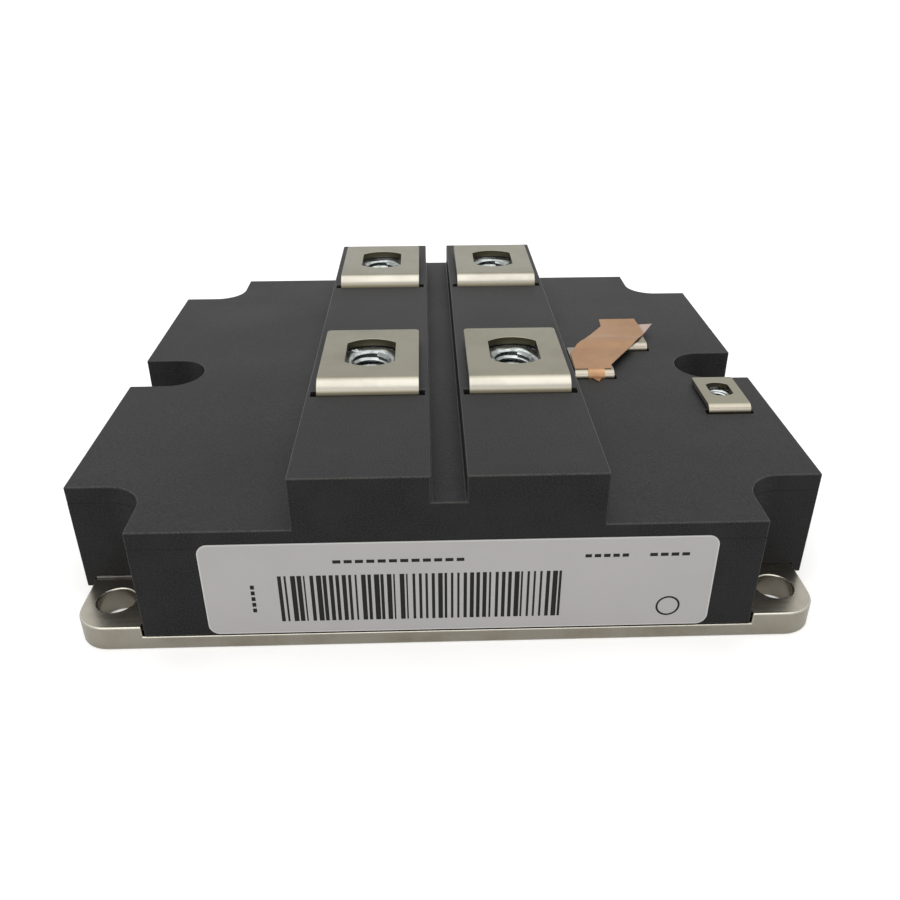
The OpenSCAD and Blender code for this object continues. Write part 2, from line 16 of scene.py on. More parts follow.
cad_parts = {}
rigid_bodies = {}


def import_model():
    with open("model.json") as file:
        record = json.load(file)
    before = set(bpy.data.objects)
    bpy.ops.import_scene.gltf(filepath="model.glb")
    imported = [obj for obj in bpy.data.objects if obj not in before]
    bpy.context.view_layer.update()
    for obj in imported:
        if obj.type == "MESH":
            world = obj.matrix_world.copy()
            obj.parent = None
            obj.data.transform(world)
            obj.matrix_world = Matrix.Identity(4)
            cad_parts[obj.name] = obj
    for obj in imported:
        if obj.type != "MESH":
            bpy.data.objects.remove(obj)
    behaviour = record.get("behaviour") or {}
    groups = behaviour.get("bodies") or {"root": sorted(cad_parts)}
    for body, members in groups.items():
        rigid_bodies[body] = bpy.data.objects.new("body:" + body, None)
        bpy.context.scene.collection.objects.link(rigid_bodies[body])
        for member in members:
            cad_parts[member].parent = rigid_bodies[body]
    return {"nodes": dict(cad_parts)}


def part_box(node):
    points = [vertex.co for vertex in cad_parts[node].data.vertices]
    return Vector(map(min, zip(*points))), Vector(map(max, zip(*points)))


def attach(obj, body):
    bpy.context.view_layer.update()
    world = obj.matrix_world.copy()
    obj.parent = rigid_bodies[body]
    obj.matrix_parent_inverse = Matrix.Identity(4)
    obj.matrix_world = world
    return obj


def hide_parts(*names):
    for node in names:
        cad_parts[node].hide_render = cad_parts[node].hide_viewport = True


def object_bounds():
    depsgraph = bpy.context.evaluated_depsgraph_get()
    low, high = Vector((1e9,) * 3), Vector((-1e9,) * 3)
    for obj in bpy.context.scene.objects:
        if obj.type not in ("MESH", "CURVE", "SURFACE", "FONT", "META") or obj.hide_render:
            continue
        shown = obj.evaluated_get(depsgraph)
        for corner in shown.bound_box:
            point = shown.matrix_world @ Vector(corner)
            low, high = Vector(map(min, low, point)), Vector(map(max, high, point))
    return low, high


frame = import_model()
nodes = frame["nodes"]
cad_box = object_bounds()
scene = bpy.context.scene
MM = 0.001
size = [round(c / MM, 2) for c in cad_box[1] - cad_box[0]]
print("loaded", len(nodes), "solids, size in mm", size)

# %% [markdown]
# ## The camera
# The module is seen from the front and a little above, as one looks at a part on a bench. The
# aim point lies near the middle, low in the module. Turning an azimuth and an elevation into
# three axes is safer than typing a rotation, because the same numbers also say where the lens
# stands.

# %% Camera
def aim_camera(target, azimuth, elevation, roll, distance, lens):
    a, e, r = (math.radians(v) for v in (azimuth, elevation, roll))
    back = Vector((math.sin(a) * math.cos(e), -math.cos(a) * math.cos(e), math.sin(e)))
    right = (-back).cross(Vector((0, 0, 1))).normalized()
    up = right.cross(-back)
    across = right * math.cos(r) + up * math.sin(r)
    upright = up * math.cos(r) - right * math.sin(r)
    bpy.ops.object.camera_add()
    camera = bpy.context.object
    turn = Matrix((across, upright, back)).transposed().to_4x4()
    camera.matrix_world = Matrix.Translation(target + back * distance) @ turn
    camera.data.lens = lens
    camera.data.sensor_width = 36
    camera.data.clip_start = 0.01
    camera.data.clip_end = 20
    scene.camera = camera
    return camera


camera = aim_camera(
    target=Vector((2.04, 0, 3.66)) * MM,
    azimuth=-1.654,
    elevation=29.56,
    roll=-0.178,
    distance=216.2 * MM,
    lens=35.18,
)
print("camera stands at", [round(c, 3) for c in camera.location])

# %% [markdown]
# ## Helpers for node trees
# Every finish below is a tree of small nodes. Adding a node, setting it and wiring it take
# several lines each time, so four helpers do that, and a tree then reads like a formula.

# %% Helpers for node trees
def put(tree, node, key, value):
    """Sets or links one input, found by its name or, as in "#0", by its number."""
    socket = node.inputs[int(key[1:])] if key[:1] == "#" else node.inputs[key]
    if isinstance(value, bpy.types.NodeSocket):
        tree.links.new(value, socket)
    else:
        socket.default_value = value


def add_node(tree, kind, settings=None, **inputs):
    """One node with its settings and its inputs; an input may be a value or another socket."""
    node = tree.nodes.new(kind)
    for key, value in (settings or {}).items():
        setattr(node, key, value)
    for key, value in inputs.items():
        put(tree, node, key.replace("_", " "), value)
    return node


def maths(tree, operation, a, b=0.0, c=0.0):
    node = tree.nodes.new("ShaderNodeMath")
    node.operation = operation
    for i, value in enumerate((a, b, c)):
        put(tree, node, f"#{i}", value)
    return node.outputs[0]


def map_range(tree, value, start=0.0, end=1.0, low=0.0, high=1.0):
    """Turns start..end into low..high, and holds still beyond both ends."""
    node = add_node(
        tree, "ShaderNodeMapRange",
        Value=value, From_Min=start, From_Max=end, To_Min=low, To_Max=high,
    )
    return node.outputs["Result"]


print("helpers for node trees are ready")

# %% [markdown]
# ## The bench and the light
# A pale floor catches the shadow. Big soft lamps stand overhead and in front, like the light
# tent of a parts catalogue. The world lights the object at less than half of white: the full
# white is only what the camera, the metal and the clear gel see of it. The floor glows for the
# camera alone, and more so further out, so it meets that white without an edge.

# %% World
WORLD_LIGHT = 0.42  # strength at which the world lights the object
WORLD_SEEN = 1.0  # strength that is seen

world = bpy.data.worlds.new("light tent")
scene.world = world
world.use_nodes = True
sky = world.node_tree
path = add_node(sky, "ShaderNodeLightPath")
seen = maths(sky, "MAXIMUM", path.outputs["Is Camera Ray"], path.outputs["Is Glossy Ray"])
seen = maths(sky, "MAXIMUM", seen, path.outputs["Is Transmission Ray"])
background = sky.nodes["Background"]
background.inputs["Color"].default_value = (1, 1, 1, 1)
put(sky, background, "Strength", map_range(sky, seen, low=WORLD_LIGHT, high=WORLD_SEEN))
print("the world lights at", WORLD_LIGHT, "and is seen at", WORLD_SEEN)

# %% Floor
PAPER = 0.74  # share of the light that the bench gives back
GLOW_FROM, GLOW_TO = 0.1, 0.9  # distances from the middle, in metres
GLOW_NEAR, GLOW_FAR = 0.38, 1.0  # strengths at those distances

bpy.ops.mesh.primitive_plane_add(size=6)
floor = bpy.context.object
floor.name = "floor"
paper = bpy.data.materials.new("pale bench")
paper.use_nodes = True
tree = paper.node_tree
shader = tree.nodes["Principled BSDF"]
shader.inputs["Base Color"].default_value = (PAPER, PAPER, PAPER, 1)
shader.inputs["Roughness"].default_value = 0.9
shader.inputs["Specular IOR Level"].default_value = 0.0
path = add_node(tree, "ShaderNodeLightPath")
spot = tree.nodes.new("ShaderNodeTexCoord").outputs["Object"]
away = add_node(tree, "ShaderNodeVectorMath", {"operation": "LENGTH"})
tree.links.new(spot, away.inputs[0])
far = map_range(tree, away.outputs["Value"], GLOW_FROM, GLOW_TO, GLOW_NEAR, GLOW_FAR)
glow = add_node(tree, "ShaderNodeEmission", Color=(1, 1, 1, 1), Strength=far)
lit = add_node(tree, "ShaderNodeAddShader")
tree.links.new(shader.outputs[0], lit.inputs[0])
tree.links.new(glow.outputs[0], lit.inputs[1])
mix = add_node(tree, "ShaderNodeMixShader", Fac=path.outputs["Is Camera Ray"])
tree.links.new(shader.outputs[0], mix.inputs[1])
tree.links.new(lit.outputs[0], mix.inputs[2])
tree.links.new(mix.outputs[0], tree.nodes["Material Output"].inputs["Surface"])
floor.data.materials.append(paper)
scene.view_settings.view_transform = "Standard"
print("floor ready:", floor.name)

# %% Lamps
def soft_lamp(name, place, target, width, height, watts, tone):
    bpy.ops.object.light_add(type="AREA", location=place)
    lamp = bpy.context.object
    lamp.name = name
    lamp.data.shape = "RECTANGLE"
    lamp.data.size = width
    lamp.data.size_y = height
    lamp.data.energy = watts
    lamp.data.color = tone
    lamp.rotation_mode = "QUATERNION"
    lamp.rotation_quaternion = (Vector(target) - Vector(place)).to_track_quat("-Z", "Y")


soft_lamp(
    "overhead", place=(0.0, 0.05, 0.8), target=(0, 0, 0),
    width=1.1, height=1.1, watts=5.8, tone=(1, 0.99, 0.97),
)
soft_lamp(
    "front", place=(-0.15, -0.75, 0.5), target=(0, 0, 0.02),
    width=1.1, height=0.36, watts=2.4, tone=(1, 0.98, 0.95),
)

# %% [markdown]
# ## Softening moulded and stamped edges
# No real edge is a perfect corner: a moulding has a small radius and a stamped sheet a slight
# roll. The eye reads both as thin bright lines. A CAD solid is a shell of loose triangles, so a
# copy is merged first, its flat faces are joined back into whole ones, and a Bevel modifier
# rounds only the edges that turn sharply. The housing then keeps its exact size.

# %% Copies of the solids
MERGE_REACH = 2e-6  # vertices this close, in metres, are one
FLAT_ANGLE = 0.5  # faces that turn less than this, in degrees, are one


def pick(piece):
    bpy.ops.object.select_all(action="DESELECT")
    piece.select_set(True)
    bpy.context.view_layer.objects.active = piece


def merged_copy(node, name):
    """A copy of a CAD node with its triangles merged and its flat faces whole."""
    piece = bpy.data.objects.new(name, nodes[node].data.copy())
    scene.collection.objects.link(piece)
    pick(piece)
    if piece.data.has_custom_normals:
        bpy.ops.mesh.customdata_custom_splitnormals_clear()
    bpy.ops.object.mode_set(mode="EDIT")
    bpy.ops.mesh.select_all(action="SELECT")
    bpy.ops.mesh.remove_doubles(threshold=MERGE_REACH)
    bpy.ops.mesh.dissolve_limited(angle_limit=math.radians(FLAT_ANGLE))
    bpy.ops.object.mode_set(mode="OBJECT")
    piece.data.materials.clear()
    return piece


def stands_for(piece, *cad_nodes):
    """The piece rides on the module and takes the place of these solids."""
    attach(piece, "root")
    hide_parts(*cad_nodes)
    print(piece.name, "has", len(piece.data.polygons), "faces")
    return piece


print("faces that turn less than", FLAT_ANGLE, "degrees are joined")

# %% Rounded edges
FINE_BAND = 0.12 * MM  # an edge this near to the fine height counts as lying at it


def weigh_edges(piece, angle, fine_height, fine_share):
    """Marks the edges that turn sharply; those at fine_height get only a share of the width."""
    work = bmesh.new()
    work.from_mesh(piece.data)
    weight = work.edges.layers.float.new("bevel_weight_edge")
    for edge in work.edges:
        if len(edge.link_faces) == 2 and edge.calc_face_angle() > math.radians(angle):
            fine = all(abs(v.co.z - fine_height) < FINE_BAND for v in edge.verts)
            edge[weight] = fine_share if fine else 1.0
    work.to_mesh(piece.data)
    work.free()


def round_edges(piece, width, segments=2, angle=35, fine_height=-1.0, fine_share=1.0):
    """Rounds the sharp edges; the rounded faces take the second material slot."""
    weigh_edges(piece, angle, fine_height, fine_share)
    piece.data.materials.append(None)
    piece.data.materials.append(None)
    pick(piece)
    bevel = piece.modifiers.new("rolled edges", "BEVEL")
    bevel.width = width
    bevel.segments = segments
    bevel.limit_method = "WEIGHT"
    bevel.use_clamp_overlap = False
    bevel.harden_normals = True
    bevel.material = 1
    bpy.ops.object.modifier_apply(modifier=bevel.name)
    for face in piece.data.polygons:
        if abs(face.center.z - fine_height) < width:
            face.material_index = 0


print("edges within", round(FINE_BAND / MM, 2), "mm of a seam are rounded less")

# %% [markdown]
# ## The housing
# Both halves are glass-filled nylon from one tool shop: the frame carries the walls, the lid the
# ridges. Their edges have a radius of about a quarter of a millimetre, and where the two meet
# the two radii leave the fine line that shows beside the label.

# %% Housing
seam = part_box("frame")[1].z
frame_shell = merged_copy("frame", "frame_shell")
round_edges(frame_shell, 0.2 * MM, fine_height=seam, fine_share=0.7)
stands_for(frame_shell, "frame")
lid_shell = merged_copy("lid", "lid_shell")
round_edges(lid_shell, 0.24 * MM, fine_height=seam, fine_share=0.6)
stands_for(lid_shell, "lid")
print("the seam lies at", round(seam / MM, 2), "mm")

# %% [markdown]
# ## Base plate, busbars and tabs
# The plate is milled and then plated, so its edge is broken by a small radius. The terminals are
# stamped: the punch rolls the upper edge and the rim of the opening.

# %% Metal sheets
skirt_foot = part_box("frame")[0].z
plate = merged_copy("base_plate", "plate")
round_edges(plate, 0.3 * MM, fine_height=skirt_foot, fine_share=0.2)
stands_for(plate, "base_plate")
for bar in ("emitter_bar_front", "emitter_bar_rear", "collector_bar_front", "collector_bar_rear"):
    sheet = merged_copy(bar, bar.replace("bar", "busbar"))
    round_edges(sheet, 0.12 * MM)
    stands_for(sheet, bar)
for tab in ("gate_terminal", "emitter_sense_terminal", "collector_sense_terminal"):
    sheet = merged_copy(tab, tab.replace("terminal", "tab"))
    round_edges(sheet, 0.08 * MM)
    stands_for(sheet, tab)

# %% [markdown]
# ## Nuts with real threads
# The solids have plain bores of the thread's core diameter. A thread is a ridge that climbs one
# pitch a turn, which is just what the Screw modifier makes out of a small closed profile. The
# bore is widened to the thread's outer radius first, and the ridge then fills it back in. One
# ridge is made for each size of nut and copied into all its nuts.

# %% Finding the nuts and widening their bores
BORE_SLACK = 1.02  # a vertex within this many core radii of the axis belongs to the bore


def nut_centres(node):
    """The middles of the separate nuts, found by taking a copy of the node apart."""
    piece = merged_copy(node, "probe")
    pick(piece)
    bpy.ops.object.mode_set(mode="EDIT")
    bpy.ops.mesh.select_all(action="SELECT")
    bpy.ops.mesh.separate(type="LOOSE")
    bpy.ops.object.mode_set(mode="OBJECT")
    parts = [o for o in scene.objects if o.name.startswith("probe")]
    centres = []
    for part in parts:
        corners = [Vector(c) for c in part.bound_box]
        centres.append(sum(corners, Vector()) / 8)
        bpy.data.objects.remove(part)
    print(node, "holds", len(centres), "nuts")
    return centres


def widen_bores(piece, centres, core, root):
    """Moves the bore out to the thread's root, up along the cone of the lead-in."""
    deep = root - core
    for v in piece.data.vertices:
        centre = min(centres, key=lambda c: (v.co.xy - c.xy).length)
        arm = v.co.xy - centre.xy
        if arm.length < core * BORE_SLACK:
            grown = arm.normalized() * (arm.length + deep)
            v.co.x, v.co.y = centre.x + grown.x, centre.y + grown.y
            v.co.z += deep if v.co.z > centre.z else -deep


print("a bore is all that lies within", BORE_SLACK, "core radii of the axis")

# %% The ridge of a thread
CREST_SHARE, FOOT_SHARE = 0.08, 0.44  # half widths of the ridge, as shares of the pitch
RIDGE_BED = 0.03 * MM  # how far the ridge reaches into the nut
STEPS_PER_TURN = 28


def thread_ridge(core, root, pitch, height, lead_in):
    """A closed trapezoid profile, climbed round the bore by the Screw modifier.

    Both ends run out into the lead-in cones, as where a countersink cuts a thread.
    """
    bpy.ops.object.select_all(action="DESELECT")
    bpy.ops.mesh.primitive_plane_add(size=1)
    ridge = bpy.context.object
    deep = root + RIDGE_BED
    crest, foot = pitch * CREST_SHARE, pitch * FOOT_SHARE
    corners = ((deep, -foot), (core, -crest), (deep, foot), (core, crest))
    for v, (radius, rise) in zip(ridge.data.vertices, corners):
        v.co = (radius, 0, rise)
    bpy.ops.object.mode_set(mode="EDIT")
    bpy.ops.mesh.select_all(action="SELECT")
    bpy.ops.mesh.delete(type="ONLY_FACE")
    bpy.ops.object.mode_set(mode="OBJECT")
    turns = height / pitch - 1
    screw = ridge.modifiers.new("climb", "SCREW")
    screw.angle = 2 * math.pi * turns
    screw.screw_offset = pitch * turns
    screw.steps = screw.render_steps = round(STEPS_PER_TURN * turns)
    screw.use_normal_calculate = True
    bpy.ops.object.modifier_apply(modifier=screw.name)
    bpy.ops.object.mode_set(mode="EDIT")
    bpy.ops.mesh.select_all(action="DESELECT")
    bpy.ops.mesh.select_non_manifold()
    bpy.ops.mesh.edge_face_add()
    bpy.ops.mesh.select_all(action="SELECT")
    bpy.ops.mesh.normals_make_consistent(inside=False)
    bpy.ops.object.mode_set(mode="OBJECT")
    for v in ridge.data.vertices:
        to_end = min(v.co.z + pitch / 2, height - pitch / 2 - v.co.z)
        cone = core + lead_in - max(0.0, to_end)
        if v.co.xy.length < cone:
            v.co.xy = v.co.xy.normalized() * min(cone, deep)
    return ridge


print("a ridge climbs in", STEPS_PER_TURN, "steps a turn")

# %% Nuts
def copy_to(original, name, place):
    """A copy with a mesh of its own, moved to its place inside that mesh."""
    twin = bpy.data.objects.new(name, original.data.copy())
    scene.collection.objects.link(twin)
    twin.data.transform(Matrix.Translation(place))
    return twin


def threaded_nuts(node, name, core, root, pitch, lead_in, edge):
    centres = nut_centres(node)
    nuts = merged_copy(node, name)
    low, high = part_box(node)
    widen_bores(nuts, centres, core, root)
    round_edges(nuts, edge, segments=1, angle=50)
    first = thread_ridge(core, root, pitch, high.z - low.z, lead_in)
    ridges = [
        copy_to(first, f"{name}_ridge_{i}", Vector((c.x, c.y, low.z + pitch / 2)))
        for i, c in enumerate(centres)
    ]
    bpy.data.objects.remove(first)
    pick(nuts)
    for ridge in ridges:
        ridge.select_set(True)
    bpy.ops.object.join()
    bpy.ops.object.shade_smooth_by_angle(angle=math.radians(35))
    return stands_for(nuts, node)


large_nuts = threaded_nuts(
    "m8_nuts", "large_nuts",
    core=3.4 * MM, root=3.95 * MM, pitch=1.25 * MM, lead_in=0.81 * MM, edge=0.12 * MM,
)
small_nuts = threaded_nuts(
    "m4_nuts", "small_nuts",
    core=1.65 * MM, root=1.98 * MM, pitch=0.7 * MM, lead_in=0.44 * MM, edge=0.08 * MM,
)

# %% [markdown]
# ## The shorting foil
# A strip of thin copper was cut by hand and pressed over two tabs, so it isn't flat: it lifts a
# little between them and its pointed corners curl. The solid gives the outline. Bisecting it
# about every millimetre gives it vertices to bend at, and a smooth noise then lifts them. The
# noise is a plain function of the place, so it comes out the same each time.

# %% Slicing a piece so that it can bend
def slice_evenly(piece, axis, step):
    """Cuts a piece along one axis every step."""
    low = min(v.co[axis] for v in piece.data.vertices)
    high = max(v.co[axis] for v in piece.data.vertices)
    normal = [0, 0, 0]
    normal[axis] = 1
    pick(piece)
    bpy.ops.object.mode_set(mode="EDIT")
    place = low + step
    while place < high:
        bpy.ops.mesh.select_all(action="SELECT")
        point = [0, 0, 0]
        point[axis] = place
        bpy.ops.mesh.bisect(plane_co=point, plane_no=normal)
        place += step
    bpy.ops.object.mode_set(mode="OBJECT")


print("pieces can be sliced")

# %% Foil
TOUCH = 1e-6  # heights this close, in metres, count as one
FOIL_STEP = 0.9 * MM
# Where the foil bends, how far that reaches, and how much it lifts, in millimetres
BRIDGE_Y, BRIDGE_REACH, BRIDGE_LIFT = 10.5, 3.5, 0.35  # between the two tabs
CREASE_X, CREASE_Y, CREASE_REACH, CREASE_LIFT = 40, 13.2, 1.1, 0.16
CREASE_SLANT = 0.1  # how much the crease moves back along Y for each step along X
RIPPLE_SCALE, RIPPLE_LIFT = 0.16, 0.22
FRONT_Y, FRONT_REACH = -3.5, 3  # towards the front the foil lies flat
TIP_X, TIP_CURL = 50.5, 0.22  # the curls are lifts per millimetre
BACK_Y, BACK_CURL = 24.2, 0.12


def foil_lift(x, y):
    """How far the foil stands off the tabs, in metres, at a place in millimetres."""
    bridge = max(0.0, 1 - abs(y - BRIDGE_Y) / BRIDGE_REACH)
    ripple = 0.5 + 0.5 * noise.noise(Vector((x * RIPPLE_SCALE, y * RIPPLE_SCALE, 3.1)))
    off_crease = abs(y - CREASE_Y + CREASE_SLANT * (x - CREASE_X))
    crease = max(0.0, 1 - off_crease / CREASE_REACH)
    front = min(1.0, max(0.0, (y - FRONT_Y) / FRONT_REACH))
    curl = max(0.0, x - TIP_X) * TIP_CURL + max(0.0, y - BACK_Y) * BACK_CURL
    lift = BRIDGE_LIFT * bridge + RIPPLE_LIFT * ripple + CREASE_LIFT * crease
    return lift * front * MM + curl * MM


foil = merged_copy("shorting_foil", "copper_foil")
slice_evenly(foil, 0, FOIL_STEP)
slice_evenly(foil, 1, FOIL_STEP)
tab_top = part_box("gate_terminal")[1].z
for v in foil.data.vertices:
    if v.co.z >= tab_top - TOUCH:
        v.co.z += foil_lift(v.co.x / MM, v.co.y / MM)
pick(foil)
bpy.ops.object.mode_set(mode="EDIT")
bpy.ops.mesh.select_all(action="SELECT")
bpy.ops.mesh.quads_convert_to_tris()
bpy.ops.object.mode_set(mode="OBJECT")
bpy.ops.object.shade_smooth_by_angle(angle=math.radians(30))
stands_for(foil, "shorting_foil")

# %% [markdown]
# ## A bead of sealant
# The housing is glued down with silicone, and at one notch a thin grey bead of it was squeezed
# out along the foot of the wall. It is a rod laid into the corner: its ends are closed and
# beveled, and a slow noise makes its thickness wander, as a bead laid by hand does.

# %% Sealant bead
BEAD_RADIUS, BEAD_STEP = 0.26 * MM, 0.5 * MM
BEAD_FROM, BEAD_TO = 2.2 * MM, 11 * MM  # along X, from the housing's outer wall
BEAD_OFF_WALL, BEAD_OFF_PLATE = 0.12 * MM, 0.2 * MM  # where its middle line lies
SWELL_MEAN, SWELL_SPAN, SWELL_SCALE = 0.85, 0.35, 0.6


def sealant_bead(name, start, end, radius):
    """A rod along X whose thickness wanders."""
    span = end - start
    bpy.ops.object.select_all(action="DESELECT")
    bpy.ops.mesh.primitive_cylinder_add(vertices=12, radius=radius, depth=span.length)
    bead = bpy.context.object
    bead.name = name
    bead.data.transform(span.to_track_quat("Z", "Y").to_matrix().to_4x4())
    bead.data.transform(Matrix.Translation((start + end) / 2))
    round_edges(bead, radius * 0.6, segments=3)
    slice_evenly(bead, 0, BEAD_STEP)
    for v in bead.data.vertices:
        spine = Vector((v.co.x, start.y, start.z))
        wander = noise.noise(Vector((v.co.x / MM * SWELL_SCALE, 0.4, 2.7)))
        v.co = spine + (v.co - spine) * (SWELL_MEAN + SWELL_SPAN * wander)
    bpy.ops.object.shade_smooth_by_angle(angle=math.radians(40))
    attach(bead, "root")
    print(name, "is", round(span.length / MM, 1), "mm long")
    return bead


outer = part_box("frame")[0].x
plate_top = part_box("base_plate")[1].z
notch_wall = min(v.co.y for v in nodes["frame"].data.vertices if v.co.x < outer + 0.5 * MM)
bead_line = notch_wall - BEAD_OFF_WALL, plate_top + BEAD_OFF_PLATE
bead = sealant_bead(
    "sealant",
    start=Vector((outer + BEAD_FROM, *bead_line)),
    end=Vector((outer + BEAD_TO, *bead_line)),
    radius=BEAD_RADIUS,
)

# %% [markdown]
# ## Shared effects
# Three effects come back on several materials, so each is a node group: a cloudy mask for uneven
# tone, a fine grain for plastic, bare metal and the label, and drawn lines for rolled metal. A
# group gives out masks and normals only, and each material sets its own scale and strength.

# %% Clouds
FLOAT, VECTOR = "NodeSocketFloat", "NodeSocketVector"


def new_group(name, inputs, outputs):
    """A node group with named inputs and outputs, and its two end nodes."""
    group = bpy.data.node_groups.new(name, "ShaderNodeTree")
    for label, kind, value in inputs:
        socket = group.interface.new_socket(label, in_out="INPUT", socket_type=kind)
        if value is not None:
            socket.default_value = value
    for label, kind in outputs:
        group.interface.new_socket(label, in_out="OUTPUT", socket_type=kind)
    return group, group.nodes.new("NodeGroupInput"), group.nodes.new("NodeGroupOutput")


clouds, into, out = new_group(
    "clouds",
    [("Place", VECTOR, None), ("Scale", FLOAT, 40.0), ("Low", FLOAT, 0.35), ("High", FLOAT, 0.65)],
    [("Mask", FLOAT)],
)
soft = add_node(
    clouds, "ShaderNodeTexNoise",
    Vector=into.outputs["Place"], Scale=into.outputs["Scale"], Detail=5.0, Roughness=0.6,
)
spread = map_range(clouds, soft.outputs[0], into.outputs["Low"], into.outputs["High"])
clouds.links.new(spread, out.inputs["Mask"])
print("group:", clouds.name)

# %% Grain and drawn lines
def finish_relief(group, into, out, texture):
    """Gives out a texture both as a mask and, through a Bump node, as a normal."""
    bump = add_node(
        group, "ShaderNodeBump",
        Height=texture.outputs[0],
        Strength=into.outputs["Strength"],
        Distance=into.outputs["Depth"],
    )
    group.links.new(bump.outputs["Normal"], out.inputs["Normal"])
    group.links.new(texture.outputs[0], out.inputs["Mask"])
    print("group:", group.name)


grain, into, out = new_group(
    "grain",
    [
        ("Place", VECTOR, None), ("Scale", FLOAT, 4000.0),
        ("Strength", FLOAT, 0.2), ("Depth", FLOAT, 0.0001),
    ],
    [("Normal", VECTOR), ("Mask", FLOAT)],
)
fine = add_node(
    grain, "ShaderNodeTexNoise",
    Vector=into.outputs["Place"], Scale=into.outputs["Scale"], Detail=3.0, Roughness=0.55,
)
finish_relief(grain, into, out, fine)

drawn, into, out = new_group(
    "drawn lines",
    [
        ("Place", VECTOR, None), ("Stretch", VECTOR, (1, 1, 1)),
        ("Strength", FLOAT, 0.1), ("Depth", FLOAT, 0.00005),
    ],
    [("Normal", VECTOR), ("Mask", FLOAT)],
)
stretched = add_node(
    drawn, "ShaderNodeMapping", Vector=into.outputs["Place"], Scale=into.outputs["Stretch"]
)
lines = add_node(
    drawn, "ShaderNodeTexNoise",
    Vector=stretched.outputs[0], Scale=1.0, Detail=4.0, Roughness=0.65,
)
finish_relief(drawn, into, out, lines)

# %% Starting a material
def start_material(name, **values):
    """A material with its Principled shader and a place input; values go on plain sockets."""
    material = bpy.data.materials.new(name)
    material.use_nodes = True
    tree = material.node_tree
    shader = tree.nodes["Principled BSDF"]
    for key, value in values.items():
        shader.inputs[key.replace("_", " ")].default_value = value
    place = tree.nodes.new("ShaderNodeTexCoord").outputs["Object"]
    return material, tree, shader, place


def use_group(tree, group, **inputs):
    node = tree.nodes.new("ShaderNodeGroup")
    node.node_tree = group
    for key, value in inputs.items():
        put(tree, node, key, value)
    return node


def blend_colours(tree, mask, first, second):
    node = tree.nodes.new("ShaderNodeMix")
    node.data_type = "RGBA"
    for socket, value in (("Factor", mask), ("A", first), ("B", second)):
        target = next(s for s in node.inputs if s.name == socket and s.enabled)
        if isinstance(value, bpy.types.NodeSocket):
            tree.links.new(value, target)
        else:
            target.default_value = value if socket == "Factor" else (*value, 1)
    return next(s for s in node.outputs if s.enabled)


def paint(material, *pieces, edge=None):
    """Gives the pieces a material, and their rounded edges another one if it is named."""
    for piece in pieces:
        if len(piece.data.materials) < 2:
            piece.data.materials.clear()
            piece.data.materials.append(material)
        else:
            piece.data.materials[0] = material
            piece.data.materials[1] = edge or material


print("groups:", [g.name for g in bpy.data.node_groups])

# %% [markdown]
# ## Moulded plastic
# Glass-filled nylon comes out of a spark-eroded tool with a fine matt texture. It is nearly black
# but not quite: handling leaves faint paler clouds, and the tone is never even over a large face.
# The rounded faces get a finish of their own: smoother, and painted paler as a painted highlight
# along each edge.

# %% Plastic
SMUDGE_GAIN, SPECK_GAIN = 1.35, 1.7  # how much paler than the pale tone


def moulded_plastic(name, dark, pale, rough):
    material, tree, shader, place = start_material(name, Specular_IOR_Level=0.2)
    haze = use_group(tree, clouds, Place=place, Scale=38.0, Low=0.38, High=0.68)
    smudge = use_group(tree, clouds, Place=place, Scale=150.0, Low=0.45, High=0.7)
    fleck = use_group(tree, grain, Place=place, Scale=3200.0, Strength=0.35, Depth=0.00006)
    tone = blend_colours(tree, haze.outputs["Mask"], dark, pale)
    paler_tone_and_highlight = map_range(tree, smudge.outputs["Mask"], high=0.7)
    tone = blend_colours(tree, paler_tone_and_highlight, tone, [c * SMUDGE_GAIN for c in pale])
    specks = map_range(tree, fleck.outputs["Mask"], 0.42, 0.62, high=0.9)
    tone = blend_colours(tree, specks, tone, [c * SPECK_GAIN for c in pale])
    shine = map_range(tree, haze.outputs["Mask"], low=rough, high=rough + 0.1)
    tree.links.new(tone, shader.inputs["Base Color"])
    tree.links.new(shine, shader.inputs["Roughness"])
    tree.links.new(fleck.outputs["Normal"], shader.inputs["Normal"])
    return material


housing_plastic = moulded_plastic(
    "housing plastic", dark=(0.006, 0.006, 0.0068), pale=(0.012, 0.012, 0.0124), rough=0.5
)
# Painted highlight: the rounded edges of the housing get a paler plastic.
edge_highlight_plastic = moulded_plastic(
    "plastic edge with painted highlight", dark=(0.02, 0.02, 0.019), pale=(0.03, 0.03, 0.028), rough=0.38
)
paint(housing_plastic, frame_shell, lid_shell, edge=edge_highlight_plastic)
print("housing painted")

# %% [markdown]
# ## Nickel plating
# The plate and the terminals are copper with a satin, slightly yellow nickel coat. The sheet was
# rolled before it was plated, so the shine keeps faint lines along one direction. The thin coat
# lets a brown tint through where flux and fingers have been. On each terminal the same brown is
# also painted low on the bend as painted shade, where the sheet dips into the housing, and the
# bend just below the top is painted paler as a painted highlight.

# %% Nickel
# The painted highlight on a terminal's bend lies between these depths below the top.
BEND_HIGHLIGHT_LOW, BEND_HIGHLIGHT_HIGH = 0.35 * MM, 0.01 * MM  # depths below the top, between which the bend lies


